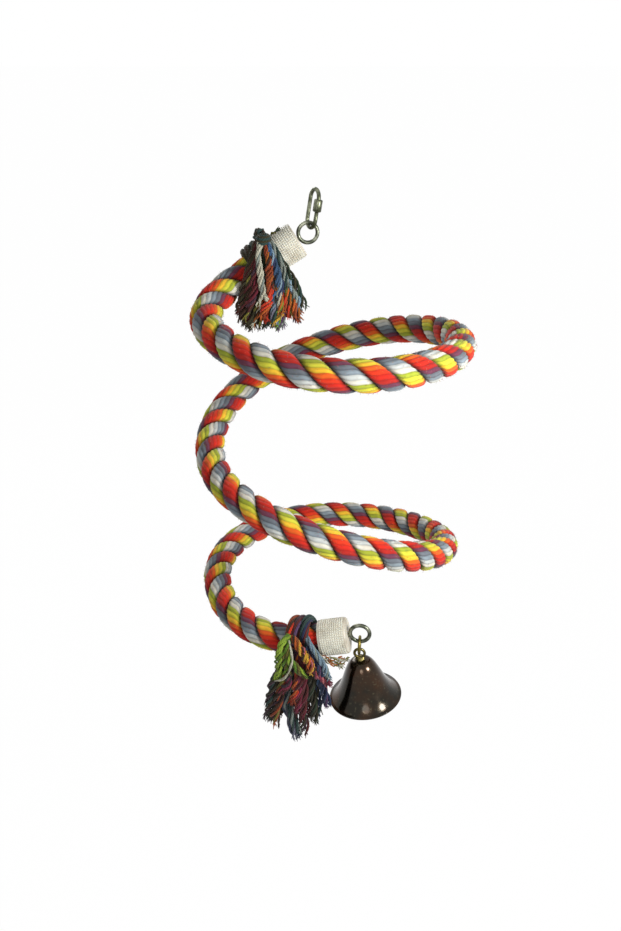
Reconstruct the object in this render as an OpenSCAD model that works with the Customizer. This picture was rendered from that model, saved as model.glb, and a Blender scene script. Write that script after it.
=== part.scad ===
// A hanging perch for a cage: a spiral of thick cotton rope on a bendable steel wire.
// Each end has a plastic cap, a steel eye and a frayed tassel.
// A quick link holds the top, and a bell hangs below.
// The origin is where the quick link bears on its hook. +Z is up, +X is to the right and -Y is the front.

/* [Rope] */
// Diameter of the rope over its strands
rope_d = 26; // [22:0.5:28]
// Diameter of the bendable wire inside the rope
core_d = 3.5; // [2.5:0.1:4.5]

/* [Coil] */
// Radius of the coil, to the middle of the rope
coil_r = 112; // [104:1:130]
// Where the coil begins, as a share of a turn counted from its left side
coil_from_share = 0.073; // [0.05:0.001:0.09]
// Where the coil ends, a little before its front, after two turns and this share of a third
coil_to_share = 0.235; // [0.2:0.005:0.24]
// Height that the rope loses in one turn
turn_drop = 134; // [115:1:150]
// How far the upper loop is lifted on its right side
upper_loop_lift = 37.5; // [25:0.5:45]
// How far the lower loop is sunk on its right side
lower_loop_sink = 45; // [30:1:48]
// How fast the last stretch levels out, as a height over a turn squared
tail_lift = 850; // [750:10:950]

/* [Upper bend] */
// Length of the straight stretch below the upper cap's closed end
upper_straight_l = 39; // [34:1:46]
// Radius of the bend between that stretch and the coil
bend_r = 49; // [45:1:54]
// How far the upper cap points up
cap_rise = 31.5; // [26:0.5:38]
// How far the upper cap is turned to the back
cap_turn = 10.5; // [4:0.5:18]

/* [End caps] */
// Length of an end cap
cap_l = 25; // [22:0.5:28]
// Wall of an end cap
cap_wall = 2.4; // [1.6:0.1:3]
// Thickness of an end cap's closed end
cap_floor = 2.5; // [1.5:0.1:3.5]

/* [Eyes] */
// Diameter of the wire that an eye is bent from
eye_wire = 3.5; // [2.5:0.1:4]
// Outer diameter of an eye's ring
eye_d = 20.5; // [19:0.5:24]
// Outer diameter of the crimped sleeve that joins an eye to the core wire
ferrule_d = 7.5; // [6.5:0.1:9]
// Length of that sleeve
ferrule_l = 20; // [16:0.5:22]

/* [Quick link] */
// Diameter of the quick link's wire
link_wire = 3.5; // [3:0.1:4]
// Length inside the quick link
link_inner_l = 28.5; // [28:0.5:34]
// Width inside the quick link
link_inner_w = 10.5; // [9.5:0.5:12]
// Width of the gap that the sleeve nut closes
link_gap = 4.6; // [4.2:0.1:5]
// How far the limb with the nut is turned to the front
link_turn = 60; // [55:1:70]
// How far the quick link leans, with its top to the right
link_lean = 9; // [0:1:12]
// How far round the upper eye's ring the quick link bears, from its top to the right
eye_bearing = 25; // [0:1:30]
// Length of the sleeve nut
nut_l = 10; // [9.5:0.1:10.5]
// Width across the flats of the sleeve nut
nut_flats = 6.4; // [5.8:0.1:7]

/* [Tassels] */
// Length of each knotted wrap along the rope
wrap_l = 27; // [20:0.5:30]
// How far a wrap stands out from the rope
wrap_bulge = 7; // [5:0.5:9]
// Length of the upper tassel's frayed tail
upper_tail_l = 88; // [70:1:96]
// Width of that tail at its frayed end
upper_tail_w = 52; // [40:1:54]
// How far the top of that tail stands above the rope's middle
upper_tail_rise = 26; // [20:1:28]
// How far the end of that tail hangs to the right of its top
upper_tail_sway = 7; // [0:1:9]
// Length of the lower tassel's frayed tail
lower_tail_l = 96; // [80:1:110]
// Width of that tail at its frayed end
lower_tail_w = 50; // [40:1:52]
// How far the end of that tail hangs to the left of its top
lower_tail_sway = 9; // [0:1:12]
// Thickness of both tails
tail_depth = 22; // [16:1:24]

/* [Bell] */
// Outer radius of the bell's mouth
bell_r = 33; // [30:0.5:35]
// Height of the bell from its crown to its mouth
bell_h = 41; // [38:0.5:46]
// Thickness of the bell's metal
bell_wall = 1.3; // [1:0.1:1.8]
// How far the bell leans against the tassel
bell_lean = 8; // [0:1:12]
// Outer diameter of the ring that carries the bell
bell_ring_d = 17; // [16:0.5:20]
// Diameter of that ring's wire
bell_ring_wire = 2.6; // [2:0.1:3]
// Outer diameter of the loop on the bell's crown
crown_loop_d = 11.5; // [11:0.5:14]
// Diameter of the clapper's ball
ball_d = 11; // [9:0.5:13]

/* [Hidden] */

// Clearances
loose_gap = 0.3;
seat_gap = 0.2;
running_gap = 0.08;
contact_gap = 0.15;
wrap_gap = 0.6;
cut_over = 1;

// Facets
round_fn = 48;
rope_sides = 12;
rings_per_turn = 26;
coarse_rings_left_out = 2;
fine_rings = 6;
bend_rings = 12;
tail_sides = 16;
tail_rings = 10;
wrap_rings = 8;
bell_steps = 12;

// Counts that shape the two loops: the turn at which each is most out of level, and where the tail begins
upper_loop_share = 0.605;
lower_loop_share = 1.627;
tail_from_share = 2.06;
coil_end_share = 2 + coil_to_share;
half_turn = 0.5;
full_turn = 360;

// Small sizes of the pieces
rope_r = rope_d / 2;
cap_bore_r = rope_r + seat_gap;
cap_r = cap_bore_r + cap_wall;
eye_mean_r = (eye_d - eye_wire) / 2;
eye_stand_off = loose_gap;
shank_grip = ferrule_l / 2 - seat_gap;
ferrule_bore_r = max(core_d, eye_wire) / 2 + seat_gap;
ferrule_set_back = loose_gap;
link_mean_r = (link_inner_w + link_wire) / 2;
link_straight = link_inner_l - link_inner_w;
nut_bore_r = link_wire / 2 + running_gap;
nut_upper_grip = 2.4;
nut_end_share = 0.86;
hex_sides = 6;
wrap_edge = 1.4;
cap_fillet = 1.2;
bell_ring_mean_r = (bell_ring_d - bell_ring_wire) / 2;
crown_wire = 2.5;
crown_mean_r = (crown_loop_d - crown_wire) / 2;
crown_foot_r = 4.2;
crown_foot_h = 1.2;
stem_r = 1.5;
washer_r = crown_foot_r - seat_gap;
washer_h = 1;
crown_nut_flats = 5.5;
crown_nut_h = 2.4;
inner_eye_wire = 1.8;
inner_eye_r = 3;
rod_wire = 1.6;
rod_eye_r = 2.8;
rod_l = 22;
ball_hole_share = 0.6;

// A direction in plan, from its angle
function heading(angle) = [cos(angle), sin(angle), 0];
function unit(v) = v / norm(v);
function between(from, to, share) = from + (to - from) * share;

// A hexagon's radius over its corners, from its width across the flats
function hex_corner(flats) = flats / (2 * cos(full_turn / (2 * hex_sides)));

// How far the upper loop's lift or the lower loop's sink is felt at a turn
function hump(t, middle) = (1 + cos(full_turn * min(max(t - middle, -half_turn), half_turn))) / 2;
function hump_slope(t, middle) =
    let (u = min(max(t - middle, -half_turn), half_turn)) -PI * sin(full_turn * u);

// Height of the rope's middle at a turn, and how fast it changes with the turn
function coil_height(t) =
    -turn_drop * t + upper_loop_lift * hump(t, upper_loop_share)
    - lower_loop_sink * hump(t, lower_loop_share) + tail_lift * pow(max(t - tail_from_share, 0), 2);
function coil_climb(t) =
    -turn_drop + upper_loop_lift * hump_slope(t, upper_loop_share)
    - lower_loop_sink * hump_slope(t, lower_loop_share) + 2 * tail_lift * max(t - tail_from_share, 0);
function coil_angle(t) = 180 + full_turn * t;
turn_l = 2 * PI * coil_r;

// The quick link hangs down its own leaning line, and the upper eye's ring sits on its lower bow
link_down = -[sin(link_lean), 0, cos(link_lean)];
bow_at = (link_inner_l + link_wire / 2) * link_down;
bow_to_eye = eye_mean_r - (link_wire + eye_wire) / 2 - loose_gap;
upper_eye_at = bow_at - bow_to_eye * (cos(eye_bearing) * [0, 0, 1] + sin(eye_bearing) * heading(cap_turn));

// From an eye's middle, back along its shank, to the rope's end and on to the end of the straight stretch
eye_to_cap = eye_d / 2 + eye_stand_off;
eye_to_rope = eye_to_cap + cap_floor + loose_gap;
lower_straight_l = rope_d;
upper_axis = cos(cap_rise) * heading(cap_turn) + [0, 0, sin(cap_rise)];
upper_rope_end = upper_eye_at - eye_to_rope * upper_axis;
bend_start = upper_rope_end - upper_straight_l * upper_axis;

// The bend turns left from the cap's heading to the coil's
bend_heading = 180 + cap_turn;
bend_sweep = coil_angle(coil_from_share) + 90 - bend_heading;
bend_middle = bend_start + bend_r * heading(bend_heading + 90);
bend_l = bend_r * bend_sweep * PI / 180;
bend_fall = -tan(cap_rise);
coil_fall = coil_climb(coil_from_share) / turn_l;
function bend_height(s) = bend_fall * s + (coil_fall - bend_fall) * s * s / (2 * bend_l);
function bend_point(share) =
    let (s = share * bend_l, at = bend_middle + bend_r * heading(bend_heading - 90 + share * bend_sweep))
    [at[0], at[1], bend_start[2] + bend_height(s)];

// The coil goes on from the bend, and its rings lie closer together under the lower wrap
coil_middle = bend_middle - (coil_r - bend_r) * heading(coil_angle(coil_from_share));
coil_z = bend_start[2] + bend_height(bend_l) - coil_height(coil_from_share);
function coil_point(t) =
    [coil_middle[0] + coil_r * cos(coil_angle(t)), coil_middle[1] + coil_r * sin(coil_angle(t)),
     coil_z + coil_height(t)];

// The lower end runs straight on from the coil
tail_pitch = atan(coil_climb(coil_end_share) / turn_l);
tail_heading = coil_angle(coil_end_share) + 90;
lower_axis = cos(tail_pitch) * heading(tail_heading) + [0, 0, sin(tail_pitch)];
coil_end = coil_point(coil_end_share);
lower_rope_end = coil_end + lower_straight_l * lower_axis;
lower_eye_at = lower_rope_end + eye_to_rope * lower_axis;

// Points on the rope's middle, by their distance from the upper or the lower end of the rope
function upper_run(s) =
    s < upper_straight_l ? upper_rope_end - s * upper_axis
                         : bend_point((s - upper_straight_l) * cos(cap_rise) / bend_l);
function lower_run(s) =
    s < lower_straight_l ? lower_rope_end - s * lower_axis
                         : coil_point(coil_end_share - (s - lower_straight_l) * cos(tail_pitch) / turn_l);

// The whole route: distances in the upper straight, then the bend, the coil and the lower straight
ferrule_room = ferrule_l + 2 * ferrule_set_back;
bore_step = seat_gap;
upper_stops = [0, ferrule_room, ferrule_room + bore_step];
coil_rings = round((coil_end_share - coil_from_share) * rings_per_turn) - coarse_rings_left_out;
fine_from = coil_end_share - coarse_rings_left_out / rings_per_turn;
route = concat(
    [for (s = upper_stops) upper_run(s)],
    [for (i = [0 : bend_rings - 1]) bend_point(i / bend_rings)],
    [for (i = [0 : coil_rings - 1]) coil_point(between(coil_from_share, fine_from, i / coil_rings))],
    [for (i = [0 : fine_rings]) coil_point(between(fine_from, coil_end_share, i / fine_rings))],
    [for (s = [ferrule_room + bore_step, ferrule_room, 0]) lower_run(s)]);
last = len(route) - 1;

// The ring of points round a place on a path
function tangent_at(path, i) =
    unit(path[min(i + 1, len(path) - 1)] - path[max(i - 1, 0)]);
function side_of(tangent) = unit(cross(tangent, [0, 0, 1]));
function ring(at, tangent, radius, sides) =
    let (side = side_of(tangent), up = cross(side, tangent))
    [for (k = [0 : sides - 1])
        let (a = full_turn * k / sides)
        at + radius * (cos(a) * side + sin(a) * up)];
function wall_faces(first, rings, sides, inward) =
    [for (i = [0 : rings - 2], k = [0 : sides - 1], second = [0, 1])
        let (start = first + i * sides, a = start + k, b = start + (k + 1) % sides)
        let (c = a + sides, d = b + sides)
        second == 0 ? (inward ? [a, c, b] : [a, b, c]) : (inward ? [b, c, d] : [b, d, c])];
function rim_faces(outer, inner, sides, flip) =
    [for (k = [0 : sides - 1], second = [0, 1])
        let (a = outer + k, b = outer + (k + 1) % sides, c = inner + k, d = inner + (k + 1) % sides)
        second == 0 ? (flip ? [a, b, c] : [a, c, b]) : (flip ? [b, d, c] : [b, c, d])];

// A tube along a path, with an outer and an inner radius at each ring
module tube(path, outer, inner, sides) {
    rings = len(path);
    tangents = [for (i = [0 : rings - 1]) tangent_at(path, i)];
    skin = [for (i = [0 : rings - 1]) each ring(path[i], tangents[i], outer[i], sides)];
    bore = [for (i = [0 : rings - 1]) each ring(path[i], tangents[i], inner[i], sides)];
    far = (rings - 1) * sides;
    bore_at = rings * sides;
    polyhedron(
        concat(skin, bore),
        concat(wall_faces(0, rings, sides, false), wall_faces(bore_at, rings, sides, true),
               rim_faces(0, bore_at, sides, false), rim_faces(far, bore_at + far, sides, true)));
}

// A closed skin over rings of points, with a point in the middle of each end
module closed_skin(rings, near, far) {
    sides = len(rings[0]);
    near_at = len(rings) * sides;
    last_ring = near_at - sides;
    polyhedron(
        concat([for (r = rings) each r], [near, far]),
        concat(wall_faces(0, len(rings), sides, false),
               [for (k = [0 : sides - 1]) [near_at, (k + 1) % sides, k]],
               [for (k = [0 : sides - 1]) [near_at + 1, last_ring + k, last_ring + (k + 1) % sides]]));
}

// Puts its children at a rope end, with +Z along the way out of the rope
module at_upper_end() {
    translate(upper_rope_end) rotate([0, 90 - cap_rise, cap_turn]) children();
}
module at_lower_end() {
    translate(lower_rope_end) rotate([0, 90 - tail_pitch, tail_heading]) children();
}

module wire_ring(mean_r, wire) {
    rotate_extrude($fn = round_fn) translate([mean_r, 0]) circle(d = wire, $fn = round_fn / 2);
}

// Half a round bow of wire, bulging to +Z in the XZ plane
module bow(mean_r, wire) {
    rotate([90, 0, 0]) rotate_extrude(angle = 180, $fn = round_fn)
        translate([mean_r, 0]) circle(d = wire, $fn = round_fn / 2);
}

// The quick link's own frame: its wire lies in the XZ plane, with the nut's limb at +X
module in_link() {
    rotate([0, link_lean, 0]) rotate([0, 0, -link_turn]) children();
}
link_top = -link_inner_w / 2;
link_bottom = link_top - link_straight;
gap_top = link_top - nut_upper_grip - seat_gap;
gap_bottom = gap_top - link_gap;
nut_top = gap_top + nut_upper_grip;
nut_travel = nut_top - nut_l - link_bottom - seat_gap;
echo(str("travel of the sleeve nut, mm: ", nut_travel));

module quick_link() {
    color([0.46, 0.47, 0.42]) in_link() {
        translate([0, 0, link_top]) bow(link_mean_r, link_wire);
        translate([0, 0, link_bottom]) mirror([0, 0, 1]) bow(link_mean_r, link_wire);
        translate([-link_mean_r, 0, link_bottom])
            cylinder(d = link_wire, h = link_straight, $fn = round_fn / 2);
        translate([link_mean_r, 0, gap_top])
            cylinder(d = link_wire, h = link_top - gap_top, $fn = round_fn / 2);
        translate([link_mean_r, 0, link_bottom])
            cylinder(d = link_wire, h = gap_bottom - link_bottom, $fn = round_fn / 2);
    }
}

module link_nut() {
    color([0.42, 0.43, 0.38]) in_link() translate([link_mean_r, 0, nut_top - nut_l]) difference() {
        intersection() {
            cylinder(r = hex_corner(nut_flats), h = nut_l, $fn = hex_sides);
            rotate_extrude($fn = round_fn) nut_outline();
        }
        translate([0, 0, -cut_over]) cylinder(r = nut_bore_r, h = nut_l + 2 * cut_over, $fn = round_fn);
    }
}

// A barrel that takes the corners off both ends of the hexagon
module nut_outline() {
    corner_r = hex_corner(nut_flats);
    end_r = corner_r * nut_end_share;
    chamfer = corner_r - end_r;
    polygon([[0, 0], [end_r, 0], [corner_r, chamfer], [corner_r, nut_l - chamfer],
             [end_r, nut_l], [0, nut_l]]);
}

// An eye: a ring of wire and the shank that goes through the cap into the sleeve
module eye() {
    ring_z = eye_to_rope;
    shank_end = -ferrule_set_back - shank_grip;
    translate([0, 0, ring_z]) rotate([90, 0, 0]) wire_ring(eye_mean_r, eye_wire);
    translate([0, 0, shank_end])
        cylinder(d = eye_wire, h = ring_z - eye_mean_r - shank_end, $fn = round_fn / 2);
}

module ferrule() {
    translate([0, 0, -ferrule_set_back - ferrule_l]) difference() {
        cylinder(d = ferrule_d, h = ferrule_l, $fn = round_fn);
        translate([0, 0, -cut_over])
            cylinder(r = ferrule_bore_r, h = ferrule_l + 2 * cut_over, $fn = round_fn);
    }
}

// A cup over the rope's end, with a hole for the shank and a rounded outer edge
module cap() {
    skirt_z = loose_gap + cap_floor - cap_l;
    difference() {
        translate([0, 0, skirt_z]) rotate_extrude($fn = 2 * round_fn) cap_outline();
        translate([0, 0, skirt_z - cut_over])
            cylinder(r = cap_bore_r, h = cap_l - cap_floor + cut_over, $fn = 2 * round_fn);
        cylinder(r = eye_wire / 2 + seat_gap, h = cap_l, $fn = round_fn);
    }
}
module cap_outline() {
    square([cap_r, cap_l - cap_fillet]);
    square([cap_r - cap_fillet, cap_l]);
    translate([cap_r - cap_fillet, cap_l - cap_fillet]) circle(r = cap_fillet, $fn = round_fn);
}

module upper_eye() { color([0.55, 0.56, 0.52]) at_upper_end() eye(); }
module lower_eye() { color([0.55, 0.56, 0.52]) at_lower_end() eye(); }
module upper_ferrule() { color([0.7, 0.7, 0.68]) at_upper_end() ferrule(); }
module lower_ferrule() { color([0.7, 0.7, 0.68]) at_lower_end() ferrule(); }
module upper_cap() { color([0.93, 0.92, 0.86]) at_upper_end() cap(); }
module lower_cap() { color([0.93, 0.92, 0.86]) at_lower_end() cap(); }

// The core wire runs between the two sleeves' middles
wire_set_in = ferrule_set_back + ferrule_l / 2 + seat_gap;
wire_path = concat([upper_run(wire_set_in)], [for (i = [1 : last - 1]) route[i]], [lower_run(wire_set_in)]);
module core_wire() {
    rings = [for (i = [0 : last]) ring(wire_path[i], tangent_at(wire_path, i), core_d / 2, rope_sides)];
    color([0.5, 0.5, 0.5]) closed_skin(rings, wire_path[0], wire_path[last]);
}

// The rope is bored for the wire, and wider for the sleeve at each end
wide_bore_r = ferrule_d / 2 + seat_gap;
bore_r = core_d / 2 + seat_gap;
function rope_bore(i) = (i < 2 || i > last - 2) ? wide_bore_r : bore_r;
module perch_rope() {
    color([0.62, 0.5, 0.42])
        tube(route, [for (p = route) rope_r], [for (i = [0 : last]) rope_bore(i)], rope_sides);
}

// Least distance between turns of the rope that aren't neighbours, less its diameter
far_rings = round(rings_per_turn / 3);
rope_gap = min([for (i = [0 : last], j = [i + far_rings : 1 : last]) norm(route[i] - route[j])]) - rope_d;
echo(str("least gap of the rope to itself, mm: ", rope_gap));

// A knotted wrap round the rope, from its distances along the rope
wrap_from = cap_l - cap_floor + loose_gap;
wrap_shares = [for (i = [0 : wrap_rings]) i / wrap_rings];
wrap_inner_r = rope_r + wrap_gap;
wrap_outer = [for (u = wrap_shares) wrap_inner_r + wrap_edge + wrap_bulge * sin(180 * u)];
wrap_inner = [for (u = wrap_shares) wrap_inner_r];
upper_wrap_path = [for (u = wrap_shares) upper_run(wrap_from + u * wrap_l)];
lower_wrap_path = [for (u = wrap_shares) lower_run(wrap_from + u * wrap_l)];

// A frayed tail hangs from the front of a wrap. It widens from its neck and ends blunt
neck_depth_share = 0.6;
tip_share = 0.72;
function grown(u, neck_share) = (neck_share + (1 - neck_share) * sin(90 * u)) * (u < 1 ? 1 : tip_share);
module tail(neck, tail_l, tail_w, neck_w_share, sway) {
    stops = [for (i = [0 : tail_rings]) i / tail_rings];
    middles = [for (u = stops) neck + [sway * u * u, 0, -tail_l * u]];
    closed_skin(
        [for (i = [0 : tail_rings])
            [for (k = [0 : tail_sides - 1])
                let (a = full_turn * k / tail_sides)
                middles[i] + [cos(a) * tail_w * grown(stops[i], neck_w_share) / 2,
                              sin(a) * tail_depth * grown(stops[i], neck_depth_share) / 2, 0]]],
        middles[0], middles[tail_rings]);
}

// A neck stands in front of the wrap and the cap's mouth, clear of both the rope and the cap
neck_forward = cap_r + loose_gap + tail_depth * neck_depth_share / 2;
upper_neck_share = 0.34;
lower_neck_share = 0.5;
upper_neck_w_share = 0.3;
lower_neck_w_share = 0.5;
upper_neck = upper_run(wrap_from + upper_neck_share * wrap_l) + neck_forward * heading(cap_turn - 90)
    + [0, 0, upper_tail_rise];
lower_neck = lower_run(wrap_from + lower_neck_share * wrap_l) + neck_forward * heading(tail_heading - 90);

module upper_tassel() {
    color([0.35, 0.22, 0.2]) {
        tube(upper_wrap_path, wrap_outer, wrap_inner, rope_sides);
        tail(upper_neck, upper_tail_l, upper_tail_w, upper_neck_w_share, upper_tail_sway);
    }
}

module lower_tassel() {
    color([0.35, 0.22, 0.2]) {
        tube(lower_wrap_path, wrap_outer, wrap_inner, rope_sides);
        tail(lower_neck, lower_tail_l, lower_tail_w, lower_neck_w_share, -lower_tail_sway);
    }
}

// The bell's ring hangs on the lower eye's lowest wire, square to the eye
eye_low = lower_eye_at - [0, 0, eye_mean_r];
bell_ring_at = eye_low + [0, 0, (eye_wire + bell_ring_wire) / 2 + contact_gap - bell_ring_mean_r];
ring_low = bell_ring_at - [0, 0, bell_ring_mean_r];
module bell_ring() {
    color([0.5, 0.46, 0.3]) translate(bell_ring_at) rotate([90, 0, tail_heading + 90])
        wire_ring(bell_ring_mean_r, bell_ring_wire);
}

// The bell's frame: its loop's top wire lies on the ring, and the bell leans about that wire
loop_top = (bell_ring_wire + crown_wire) / 2 + contact_gap;
crown_drop = 2 * crown_mean_r + crown_wire / 2 + crown_foot_h - loop_top;
module in_bell() {
    translate(ring_low) rotate([0, -bell_lean, tail_heading]) translate([0, 0, -crown_drop]) children();
}

// Half of the bell's section, from the middle of the crown out to the lip, as one smooth curve
shoulder_shares = [0.5, -0.02];
waist_shares = [0.5, 0.72];
lip_shares = [1, 1];
crown_shares = [crown_foot_r / bell_r, 0];
function bezier(a, b, c, d, u) =
    pow(1 - u, 3) * a + 3 * pow(1 - u, 2) * u * b + 3 * (1 - u) * u * u * c + u * u * u * d;
function bell_curve(radius, height) =
    [for (i = [0 : bell_steps])
        let (at = bezier(crown_shares, shoulder_shares, waist_shares, lip_shares, i / bell_steps))
        [radius * at[0], -height * at[1]]];
module bell_section() {
    outer = bell_curve(bell_r, bell_h);
    inner = [for (i = [bell_steps : -1 : 0])
        let (u = i / bell_steps) outer[i] - bell_wall * [u, 1 - u]];
    polygon(concat([[0, 0]], outer, inner, [[0, -bell_wall]]));
}

module bell_shell() {
    color([0.72, 0.72, 0.7]) in_bell() difference() {
        rotate_extrude($fn = 2 * round_fn) bell_section();
        translate([0, 0, -cut_over - bell_wall])
            cylinder(r = stem_r + seat_gap, h = bell_wall + 2 * cut_over, $fn = round_fn);
    }
}

washer_top = -bell_wall;
nut_face = washer_top - washer_h;
inner_eye_z = nut_face - crown_nut_h - inner_eye_wire / 2 - inner_eye_r - seat_gap;
module crown_loop() {
    color([0.6, 0.58, 0.5]) in_bell() {
        translate([0, 0, crown_foot_h + crown_wire / 2 + crown_mean_r]) rotate([90, 0, 0])
            wire_ring(crown_mean_r, crown_wire);
        cylinder(r = crown_foot_r, h = crown_foot_h + crown_wire / 2, $fn = round_fn);
        translate([0, 0, inner_eye_z + inner_eye_r])
            cylinder(r = stem_r, h = -inner_eye_z - inner_eye_r + crown_foot_h, $fn = round_fn);
        translate([0, 0, inner_eye_z]) rotate([0, 90, 0]) wire_ring(inner_eye_r, inner_eye_wire);
    }
}
module crown_washer() {
    color([0.66, 0.66, 0.64]) in_bell() translate([0, 0, washer_top - washer_h]) difference() {
        cylinder(r = washer_r, h = washer_h, $fn = round_fn);
        translate([0, 0, -cut_over])
            cylinder(r = stem_r + seat_gap, h = washer_h + 2 * cut_over, $fn = round_fn);
    }
}
module crown_nut() {
    color([0.6, 0.6, 0.58]) in_bell() translate([0, 0, nut_face - crown_nut_h]) difference() {
        cylinder(r = hex_corner(crown_nut_flats), h = crown_nut_h, $fn = hex_sides);
        translate([0, 0, -cut_over])
            cylinder(r = stem_r + running_gap, h = crown_nut_h + 2 * cut_over, $fn = round_fn);
    }
}

// The clapper hangs straight down from the lowest wire of the bell's inner eye, whatever the bell's lean
lean_axis = cos(bell_lean) * [0, 0, 1] - sin(bell_lean) * heading(tail_heading);
inner_eye_at = ring_low + (inner_eye_z - crown_drop) * lean_axis;
clapper_at = inner_eye_at - inner_eye_r * lean_axis;
rod_eye_drop = rod_eye_r - (inner_eye_wire + rod_wire) / 2 - contact_gap;
module in_clapper() {
    translate(clapper_at) rotate([0, 0, tail_heading]) children();
}
module clapper_rod() {
    color([0.55, 0.55, 0.52]) in_clapper() translate([0, 0, -rod_eye_drop]) {
        rotate([90, 0, 0]) wire_ring(rod_eye_r, rod_wire);
        translate([0, 0, -rod_eye_r - rod_l]) cylinder(d = rod_wire, h = rod_l, $fn = round_fn / 2);
    }
}
module clapper_ball() {
    ball_z = -rod_eye_drop - rod_eye_r - rod_l - seat_gap - ball_d * (ball_hole_share - 1 / 2);
    color([0.5, 0.47, 0.38]) in_clapper() difference() {
        translate([0, 0, ball_z]) sphere(d = ball_d, $fn = round_fn);
        translate([0, 0, ball_z + ball_d / 2 - ball_d * (1 - ball_hole_share)])
            cylinder(r = rod_wire / 2 + running_gap, h = ball_d, $fn = round_fn);
    }
}

quick_link();
link_nut();
upper_eye();
upper_ferrule();
upper_cap();
core_wire();
perch_rope();
upper_tassel();
lower_tassel();
lower_cap();
lower_ferrule();
lower_eye();
bell_ring();
crown_loop();
crown_washer();
crown_nut();
bell_shell();
clapper_rod();
clapper_ball();
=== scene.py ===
# %% [markdown]
# # A hanging rope perch
#
# The real object is a spiral of thick cotton rope, stiffened by a wire so that it keeps its shape in
# a cage. Each end has a plastic cap with a steel eye and a frayed tassel. A quick link holds the top,
# and a small plated bell hangs below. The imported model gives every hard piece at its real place. This
# script dresses it: it winds the rope's strands, spins the tassels' yarns, lays pads on the caps, turns
# the bell and finishes the metal.

# %% Load the frame
import math
import random

import bmesh
import bpy
import numpy as np
from mathutils import Matrix, Vector


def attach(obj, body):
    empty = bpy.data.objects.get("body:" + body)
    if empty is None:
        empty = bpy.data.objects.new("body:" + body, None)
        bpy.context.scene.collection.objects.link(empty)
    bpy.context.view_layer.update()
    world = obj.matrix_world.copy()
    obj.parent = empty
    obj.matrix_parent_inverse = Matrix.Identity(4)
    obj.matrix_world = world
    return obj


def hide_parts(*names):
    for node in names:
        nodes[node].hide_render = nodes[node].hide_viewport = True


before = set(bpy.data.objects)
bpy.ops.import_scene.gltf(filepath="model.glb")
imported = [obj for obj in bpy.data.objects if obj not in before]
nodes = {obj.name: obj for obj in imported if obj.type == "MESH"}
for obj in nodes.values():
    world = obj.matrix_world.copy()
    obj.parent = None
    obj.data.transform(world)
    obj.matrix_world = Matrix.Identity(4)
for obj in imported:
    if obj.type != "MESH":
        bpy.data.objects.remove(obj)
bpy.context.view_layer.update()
mm = 0.001


def new_object(name, data):
    made = bpy.data.objects.new(name, data)
    bpy.context.scene.collection.objects.link(made)
    return made


# %% [markdown]
# ## The camera
#
# The picture was taken from the front, from a little above the perch, with a lens that is wide for
# such a small thing, so the lower turns look smaller than the upper ones. The camera stands where
# those sizes agree. The focal length is a share of the frame's height, so it holds for any frame.

# %% Camera
camera_at = Vector((12.9, -727.7, 97.0)) * mm
camera_pitch = math.radians(26.07)
camera_turn = math.radians(1.36)
focal_share = 0.8813
sensor = 36.0

camera_data = bpy.data.cameras.new("camera")
camera_data.sensor_fit = "VERTICAL"
camera_data.sensor_height = sensor
camera_data.lens = focal_share * sensor
camera_data.clip_start = 0.01
camera = new_object("camera", camera_data)
camera.location = camera_at
camera.rotation_euler = (math.pi / 2 - camera_pitch, 0, camera_turn)
bpy.context.scene.camera = camera

# %% [markdown]
# ## The rope's route
#
# The rope leaves its upper cap straight, turns through a wide bend into the spiral, goes round a
# little more than twice, and runs straight into its lower cap. The spiral isn't a plain helix: the
# right side of the upper loop is lifted, the right side of the lower loop hangs, and the last stretch
# levels out. The route is the same formula as the model's own, in metres.

# %% Sizes of the route
rope_d = 26 * mm
coil_r = 112 * mm
coil_from, coil_to = 0.073, 2.235
turn_drop = 134 * mm
upper_loop_lift, upper_loop_share = 37.5 * mm, 0.605
lower_loop_sink, lower_loop_share = 45 * mm, 1.627
tail_lift, tail_from = 850 * mm, 2.06
upper_straight_l = 39 * mm
lower_straight_l = rope_d
bend_r = 49 * mm
cap_rise = math.radians(31.5)
cap_turn = math.radians(10.5)
cap_floor = 2.5 * mm
cap_l = 25 * mm
cap_wall = 2.4 * mm
seat_gap = 0.2 * mm
loose_gap = 0.3 * mm
eye_d = 20.5 * mm
upper_eye_at = np.array([-6.685, -0.362, -34.137]) * mm
up = np.array([0, 0, 1.0])
bend_steps, coil_steps = 120, 1500


def heading(angle):
    return np.array([math.cos(angle), math.sin(angle), 0])


def hump(t, middle):
    return (1 + np.cos(2 * np.pi * np.clip(t - middle, -0.5, 0.5))) / 2


def hump_slope(t, middle):
    return -math.pi * math.sin(2 * math.pi * min(max(t - middle, -0.5), 0.5))


def coil_height(t):
    lift = upper_loop_lift * hump(t, upper_loop_share) - lower_loop_sink * hump(t, lower_loop_share)
    return -turn_drop * t + lift + tail_lift * np.maximum(t - tail_from, 0) ** 2


def coil_climb(t):
    lift = upper_loop_lift * hump_slope(t, upper_loop_share)
    sink = lower_loop_sink * hump_slope(t, lower_loop_share)
    return -turn_drop + lift - sink + 2 * tail_lift * max(t - tail_from, 0)


def coil_angle(t):
    return math.pi + 2 * math.pi * t


# %% The route itself
turn_l = 2 * math.pi * coil_r
eye_to_rope = eye_d / 2 + loose_gap + cap_floor + loose_gap
upper_axis = math.cos(cap_rise) * heading(cap_turn) + math.sin(cap_rise) * up
upper_rope_end = upper_eye_at - eye_to_rope * upper_axis
bend_start = upper_rope_end - upper_straight_l * upper_axis
bend_heading = math.pi + cap_turn
bend_sweep = coil_angle(coil_from) + math.pi / 2 - bend_heading
bend_middle = bend_start + bend_r * heading(bend_heading + math.pi / 2)
bend_l = bend_r * bend_sweep
bend_fall = -math.tan(cap_rise)
coil_fall = coil_climb(coil_from) / turn_l


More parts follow.
